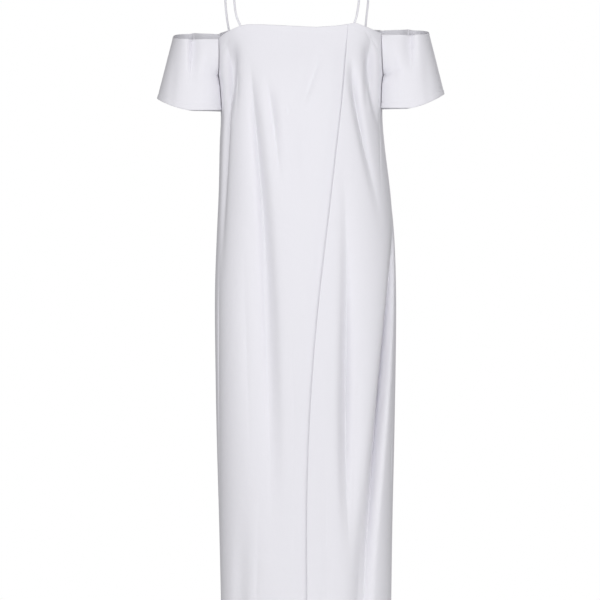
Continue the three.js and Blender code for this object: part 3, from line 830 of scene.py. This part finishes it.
def wall_mesh(name, outer, inner, rim):
    """A closed wall from an outer grid, an inner grid and a rounded rim.

    The rim is a loop round the grid's border, halfway between the faces and moved out by
    rim, an array of vectors on the same grid. UVs are lengths along the cloth.
    """
    rows, columns = outer.shape[:2]
    size = rows * columns
    grid = np.arange(size).reshape(rows, columns)
    top_left, top_right = grid[:-1, :-1].ravel(), grid[:-1, 1:].ravel()
    low_left, low_right = grid[1:, :-1].ravel(), grid[1:, 1:].ravel()
    outside = np.stack([top_left, low_left, low_right, top_right], axis=1)
    inside = np.stack([top_left, top_right, low_right, low_left], axis=1) + size
    border = np.concatenate([grid[:-1, 0], grid[-1, :-1], grid[:0:-1, -1], grid[0, :0:-1]])
    middle = (outer + inner).reshape(-1, 3)[border] / 2 + rim.reshape(-1, 3)[border]
    loop = 2 * size + np.arange(len(border))
    following = np.roll(loop, -1)
    border_next = np.roll(border, -1)
    outer_rim = np.stack([border, loop, following, border_next], axis=1)
    inner_rim = np.stack([loop, border + size, border_next + size, following], axis=1)
    points = np.concatenate([outer.reshape(-1, 3), inner.reshape(-1, 3), middle])
    faces = np.concatenate([outside, inside, outer_rim, inner_rim])

    across = np.zeros((rows, columns))
    across[:, 1:] = np.cumsum(np.linalg.norm(np.diff(outer, axis=1), axis=-1), axis=1)
    across -= across[:, columns // 2, None]
    down = np.zeros((rows, columns))
    down[1:] = np.cumsum(np.linalg.norm(np.diff(outer, axis=0), axis=-1), axis=0)
    flat = np.stack([across, down], axis=-1).reshape(-1, 2)
    uv = np.concatenate([flat, flat, flat[border]])
    return mesh_object(name, points, faces, uv)


def mesh_object(name, points, faces, uv):
    """An object at the origin from points in millimetres, quads and UVs in millimetres."""
    mesh = bpy.data.meshes.new(name)
    mesh.vertices.add(len(points))
    mesh.vertices.foreach_set("co", (points * MM).astype(np.float32).ravel())
    mesh.loops.add(faces.size)
    mesh.loops.foreach_set("vertex_index", faces.astype(np.int32).ravel())
    mesh.polygons.add(len(faces))
    mesh.polygons.foreach_set("loop_start", np.arange(0, faces.size, 4, dtype=np.int32))
    mesh.update(calc_edges=True)
    layer = mesh.uv_layers.new(name="cloth")
    layer.data.foreach_set("uv", (uv[faces.ravel()] * MM).astype(np.float32).ravel())
    mesh.polygons.foreach_set("use_smooth", np.ones(len(faces), bool))
    mesh.validate()
    piece = bpy.data.objects.new(name, mesh)
    bpy.context.scene.collection.objects.link(piece)
    return piece


def rim_vectors(outer, thickness, rounded_columns):
    """Vectors that round a wall's border: RIM_BULGE of a thickness past the grid's edges."""
    rim = np.zeros_like(outer)
    rim[0] = unit(outer[0] - outer[1]) * thickness * RIM_BULGE
    rim[-1] = unit(outer[-1] - outer[-2]) * thickness * RIM_BULGE
    for column, inside in ((0, 1), (-1, -2)):
        if column in rounded_columns:
            past_edge = unit(outer[1:-1, column] - outer[1:-1, inside])
            rim[1:-1, column] = past_edge * thickness * RIM_BULGE
    return rim


def ring_quads(rings, sides):
    """Quads between rings of points, each ring closed on itself."""
    grid = np.arange(rings * sides).reshape(rings, sides)
    following = np.roll(grid, -1, axis=1)
    quads = np.stack([grid[:-1], grid[1:], following[1:], following[:-1]], axis=-1)
    return quads.reshape(-1, 4)


def disc_quads(sides):
    """Quads that fill the first ring, each between two chords across it."""
    chord = np.arange(sides // 2 - 1)
    return np.stack([chord, chord + 1, sides - 2 - chord, sides - 1 - chord], axis=1)


def sewn_piece(name, node, outer, normal, cloth, material, rounded_columns=()):
    """A cloth piece over its solid: wall, material and place in the object, with the solid
    hidden.
    """
    thickness = cloth.thickness / MM
    rim = rim_vectors(outer, thickness, rounded_columns)
    piece = wall_mesh(name, outer, outer - thickness * normal, rim)
    piece.data.materials.append(material)
    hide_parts(node)
    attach(piece, "root")
    return piece


def strap_route(strap):
    """The strap's centre line: a smooth curve through its sewn ends and the points above."""
    inside = SOLID_WALL + STRAP_GAP + STRAP_THICKNESS / 2
    ends = []
    for (x, z), on_front in ((strap["front"], True), (strap["back"], False)):
        heights = np.array([z - STRAP_TAIL, z])
        angle = angle_at_x(x, heights, on_front)
        ends.append(body_point(angle, heights, 0) - inside * body_normal(angle, heights, 0))
    points = np.concatenate([ends[0], np.array(strap["over"], float), ends[1][::-1]])
    return centripetal_curve(points, STRAP_STEPS)


def centripetal_curve(points, steps):
    """A centripetal Catmull-Rom curve through points, at even steps of its parameter.

    Each stretch is a cubic whose slopes come from its neighbours, with knots spaced by the
    square root of the distance between the points.
    """
    ahead = 2 * points[-1] - points[-2]
    behind = 2 * points[0] - points[1]
    padded = np.concatenate([[behind], points, [ahead]])
    gap = np.sqrt(np.linalg.norm(np.diff(padded, axis=0), axis=1))
    at = np.linspace(0, len(points) - 1, steps + 1)
    i = np.minimum(at.astype(int), len(points) - 2)
    t = (at - i)[:, None]
    before, start, end, after = padded[i], padded[i + 1], padded[i + 2], padded[i + 3]
    g0, g1, g2 = gap[i][:, None], gap[i + 1][:, None], gap[i + 2][:, None]
    start_slope = ((start - before) / g0 - (end - before) / (g0 + g1) + (end - start) / g1) * g1
    end_slope = ((end - start) / g1 - (after - start) / (g1 + g2) + (after - end) / g2) * g1
    rise = end - start
    bend = 3 * rise - 2 * start_slope - end_slope
    twist = start_slope + end_slope - 2 * rise
    return start + t * (start_slope + t * (bend + t * twist))


def strap_mesh(name, centre):
    """A closed round tube along a line, its ends drawn in over a short dome and capped.

    Each ring is centre + radius * (cos a * across + sin a * up). Across is square to the line
    and to STRAP_AXIS, a direction that the straps don't take.
    """
    forward = unit(np.gradient(centre, axis=0))
    across = unit(np.cross(forward, np.array(STRAP_AXIS)))
    up = np.cross(across, forward)
    steps = np.linalg.norm(np.diff(centre, axis=0), axis=1)
    distance = np.concatenate([[0], np.cumsum(steps)])
    radius = STRAP_THICKNESS / 2
    from_end = np.minimum(distance, distance[-1] - distance)
    before_full = 1 - np.clip(from_end / STRAP_DOME, 0, 1)
    dome = np.sqrt(np.clip(1 - before_full**2, STRAP_TIP, 1))
    a = np.linspace(0, 2 * np.pi, STRAP_SIDES, endpoint=False)
    ring = np.cos(a)[None, :, None] * across[:, None, :]
    ring = ring + np.sin(a)[None, :, None] * up[:, None, :]
    points = centre[:, None, :] + (radius * dome)[:, None, None] * ring
    rows = len(centre)
    first = disc_quads(STRAP_SIDES)
    last = first[:, ::-1] + (rows - 1) * STRAP_SIDES
    faces = np.concatenate([ring_quads(rows, STRAP_SIDES), first, last])
    uv_across = np.broadcast_to(a * radius, (rows, STRAP_SIDES))
    uv_down = np.broadcast_to(distance[:, None], (rows, STRAP_SIDES))
    uv = np.stack([uv_across, uv_down], axis=-1).reshape(-1, 2)
    return mesh_object(name, points.reshape(-1, 3), faces, uv)


# Materials

def linear(hex_colour):
    """Linear RGBA of an sRGB hex colour."""
    channels = [int(hex_colour[i:i + 2], 16) / 255 for i in (1, 3, 5)]
    return [c / 12.92 if c <= 0.04045 else ((c + 0.055) / 1.055) ** 2.4 for c in channels] + [1]


def node(tree, kind, settings=None, values=None, links=None):
    """Adds a node: settings are its properties, values its sockets, links what feeds them."""
    made = tree.nodes.new(kind)
    for key, value in (settings or {}).items():
        setattr(made, key, value)
    for key, value in (values or {}).items():
        made.inputs[key].default_value = value
    for key, source in (links or {}).items():
        tree.links.new(source, made.inputs[key])
    return made


def crepe_material(name, cloth):
    """Matt white crepe, woven of hard-twisted yarns that shrink into fine pebbles.

    The pebbles break up the light, so the cloth has almost no shine and a soft pale edge.
    The hollows between the pebbles carry painted shade in the colour.
    """
    material = bpy.data.materials.new(name)
    material.use_nodes = True
    tree = material.node_tree
    tree.nodes.clear()
    place = node(tree, "ShaderNodeUVMap", {"uv_map": "cloth"}).outputs["UV"]
    # Pebbles a grain across, stretched a little down the warp
    stretched = node(
        tree, "ShaderNodeMapping", {"vector_type": "POINT"},
        {"Scale": (1.0, 0.7, 1.0)}, {"Vector": place},
    ).outputs["Vector"]
    pebbles = node(
        tree, "ShaderNodeTexNoise", {"noise_dimensions": "2D"},
        {"Scale": 1 / cloth.grain, "Detail": 3.0, "Roughness": 0.6}, {"Vector": stretched},
    ).outputs["Fac"]
    # Ribs of the threads: a wave repeats every 2 pi / (20 * scale)
    rib_scale = 2 * np.pi / (20 * RIB_SPACING * MM)
    threads = node(
        tree, "ShaderNodeTexWave", {"wave_type": "BANDS", "bands_direction": "X"},
        {"Scale": rib_scale, "Distortion": 1.5, "Detail": 1.0}, {"Vector": place},
    ).outputs["Fac"]
    # Slow unevenness of the pressed cloth
    slow = node(
        tree, "ShaderNodeTexNoise", {"noise_dimensions": "2D"},
        {"Scale": 1 / (UNEVENNESS_SIZE * MM), "Detail": 2.0, "Roughness": 0.5}, {"Vector": place},
    ).outputs["Fac"]
    pebble_bump = node(
        tree, "ShaderNodeBump", {}, {"Strength": 0.25, "Distance": PEBBLE_HEIGHT * MM},
        {"Height": pebbles},
    ).outputs["Normal"]
    thread_bump = node(
        tree, "ShaderNodeBump", {}, {"Strength": 0.2, "Distance": RIB_HEIGHT * MM},
        {"Height": threads, "Normal": pebble_bump},
    ).outputs["Normal"]
    slow_bump = node(
        tree, "ShaderNodeBump", {}, {"Strength": 0.35, "Distance": UNEVENNESS_HEIGHT * MM},
        {"Height": slow, "Normal": thread_bump},
    ).outputs["Normal"]
    # Painted shade: the colour is darkened to HOLLOW_SHADE of itself where the pebbles are low,
    # in their hollows
    bright = linear(cloth.colour)
    shaded = [c * HOLLOW_SHADE for c in bright[:3]] + [1]
    # The mixed colours are this node's inputs 6 and 7 and its output 2
    hollow_shaded_colour = node(
        tree, "ShaderNodeMix", {"data_type": "RGBA"}, {6: shaded, 7: bright}, {"Factor": pebbles},
    ).outputs[2]
    shine = {"Roughness": 0.88, "Specular IOR Level": 0.25}
    sheen = {"Sheen Weight": 0.12, "Sheen Roughness": 0.5}
    shader = node(
        tree, "ShaderNodeBsdfPrincipled", {}, {**shine, **sheen},
        {"Base Color": hollow_shaded_colour, "Normal": slow_bump},
    )
    node(tree, "ShaderNodeOutputMaterial", {}, {}, {"Surface": shader.outputs["BSDF"]})
    return material


def floor_material():
    """Light grey matt paint, rolled on a smooth floor."""
    material = bpy.data.materials.new("grey_painted_floor")
    material.use_nodes = True
    shader = material.node_tree.nodes["Principled BSDF"]
    shader.inputs["Base Color"].default_value = linear(FLOOR_COLOUR)
    shader.inputs["Roughness"].default_value = 0.9
    return material


# Operators

class DRESS_OT_stage(bpy.types.Operator):
    """Make the camera, the soft lights, the white surroundings and the floor."""

    bl_idname = "dress.stage"
    bl_label = "Stage"

    def execute(self, context):
        settings = context.scene.dress_stage
        camera = bpy.data.cameras.new("camera")
        camera.sensor_width = SENSOR_WIDTH
        camera.lens = SENSOR_WIDTH * CAMERA_DISTANCE / (PHOTO_SIZE * MM_A_PIXEL * MM)
        holder = bpy.data.objects.new("camera", camera)
        holder.location = (0, -CAMERA_DISTANCE, CAMERA_HEIGHT)
        holder.rotation_euler = (np.pi / 2, 0, 0)
        context.scene.collection.objects.link(holder)
        context.scene.camera = holder
        context.scene.view_settings.view_transform = "Standard"
        for name, place, size, power in SOFT_LIGHTS:
            soft_light(name, place, size, getattr(settings, power))
        white_surroundings(settings.room_light)
        painted_floor(settings.floor_radius)
        return {"FINISHED"}


def soft_light(name, location, size, power):
    """A square area light that faces LIGHT_TARGET."""
    light = bpy.data.lights.new(name, "AREA")
    light.size = size
    light.energy = power
    holder = bpy.data.objects.new(name, light)
    holder.location = location
    towards = Vector(LIGHT_TARGET) - Vector(location)
    holder.rotation_euler = towards.to_track_quat("-Z", "Y").to_euler()
    bpy.context.scene.collection.objects.link(holder)


def white_surroundings(strength):
    """A white world: full white to the camera, softer as light on the cloth."""
    world = bpy.data.worlds.new("white_surroundings")
    bpy.context.scene.world = world
    world.use_nodes = True
    tree = world.node_tree
    tree.nodes.clear()
    seen = node(tree, "ShaderNodeLightPath").outputs["Is Camera Ray"]
    glow = node(tree, "ShaderNodeBackground", {}, {"Color": (1, 1, 1, 1), "Strength": strength})
    white = node(tree, "ShaderNodeBackground", {}, {"Color": (1, 1, 1, 1), "Strength": 1.0})
    both = node(tree, "ShaderNodeMixShader", {}, {}, {"Fac": seen})
    tree.links.new(glow.outputs["Background"], both.inputs[1])
    tree.links.new(white.outputs["Background"], both.inputs[2])
    node(tree, "ShaderNodeOutputWorld", {}, {}, {"Surface": both.outputs["Shader"]})


def painted_floor(radius):
    """A round floor just below the hem."""
    reach = np.linspace(FLOOR_INNER_SHARE, 1, FLOOR_RINGS) * radius / MM
    a = np.linspace(0, 2 * np.pi, FLOOR_SIDES, endpoint=False)
    x = reach[:, None] * np.cos(a)
    y = reach[:, None] * np.sin(a)
    points = np.stack([x, y, np.full_like(x, HEM_Z - FLOOR_DROP)], axis=-1).reshape(-1, 3)
    faces = np.concatenate([ring_quads(FLOOR_RINGS, FLOOR_SIDES), disc_quads(FLOOR_SIDES)])
    piece = mesh_object("floor", points, faces, points[:, :2])
    piece.data.materials.append(floor_material())


def crepe():
    """The one crepe material of the body and the sleeves, made when first asked for."""
    name = "pebbled_white_crepe"
    found = bpy.data.materials.get(name)
    return found or crepe_material(name, bpy.context.scene.dress_cloth)


class DRESS_OT_body(bpy.types.Operator):
    """Make the two front panels, one lapped over the other, and the back."""

    bl_idname = "dress.body"
    bl_label = "Body panels"

    def execute(self, context):
        cloth = context.scene.dress_cloth
        panels = (
            ("front_under", front_angle, (0, LAP_COLUMN + LAP_COLUMNS), under_offset, ()),
            ("front_over", front_angle, (LAP_COLUMN, RIGHT_SEAM), over_offset, (0,)),
            ("back", back_angle, (0, LAST_BACK_COLUMN), plain_offset, ()),
        )
        for name, angle_of, columns, offset_of, rounded in panels:
            fineness = (BACK_STEPS, BACK_ROWS) if name == "back" else (FRONT_STEPS, FRONT_ROWS)
            outer, normal = panel_points(angle_of, columns, fineness, offset_of, cloth)
            sewn_piece(name + "_cloth", name, outer, normal, cloth, crepe(), rounded)
        return {"FINISHED"}


class DRESS_OT_sleeves(bpy.types.Operator):
    """Make the two short flared sleeves."""

    bl_idname = "dress.sleeves"
    bl_label = "Sleeves"

    def execute(self, context):
        cloth = context.scene.dress_cloth
        for name, sleeve in SLEEVES.items():
            outer, normal = sleeve_points(sleeve)
            sewn_piece(name + "_cloth", name, outer, normal, cloth, crepe())
        return {"FINISHED"}


class DRESS_OT_straps(bpy.types.Operator):
    """Make the two thin round straps over the shoulders."""

    bl_idname = "dress.straps"
    bl_label = "Straps"

    def execute(self, context):
        material = crepe_material("pebbled_strap_crepe", context.scene.dress_cloth)
        for name, strap in STRAPS.items():
            piece = strap_mesh(name + "_tube", strap_route(strap))
            piece.data.materials.append(material)
            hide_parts(name)
            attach(piece, "root")
        return {"FINISHED"}


class DRESS_PT_panel(bpy.types.Panel):
    """Sizes, colours and steps of the dress."""

    bl_label = "Off-shoulder dress"
    bl_idname = "DRESS_PT_panel"
    bl_space_type = "VIEW_3D"
    bl_region_type = "UI"
    bl_category = "Dress"

    def draw(self, context):
        for group in (context.scene.dress_cloth, context.scene.dress_stage):
            box = self.layout.box()
            for key in group.__annotations__:
                box.prop(group, key)
        for step in STEPS:
            self.layout.operator(step.bl_idname)


STEPS = (DRESS_OT_stage, DRESS_OT_body, DRESS_OT_sleeves, DRESS_OT_straps)
CLASSES = (DressCloth, DressStage, *STEPS, DRESS_PT_panel)


def register():
    """Register the classes and hang the settings on the scene."""
    for cls in CLASSES:
        bpy.utils.register_class(cls)
    bpy.types.Scene.dress_cloth = PointerProperty(type=DressCloth)
    bpy.types.Scene.dress_stage = PointerProperty(type=DressStage)


def unregister():
    """Take the settings and the classes away again."""
    del bpy.types.Scene.dress_stage
    del bpy.types.Scene.dress_cloth
    for cls in reversed(CLASSES):
        bpy.utils.unregister_class(cls)


def main():
    register()
    bpy.ops.dress.stage()
    bpy.ops.dress.straps()
    bpy.ops.dress.body()
    bpy.ops.dress.sleeves()


if __name__ == "__main__":
    main()
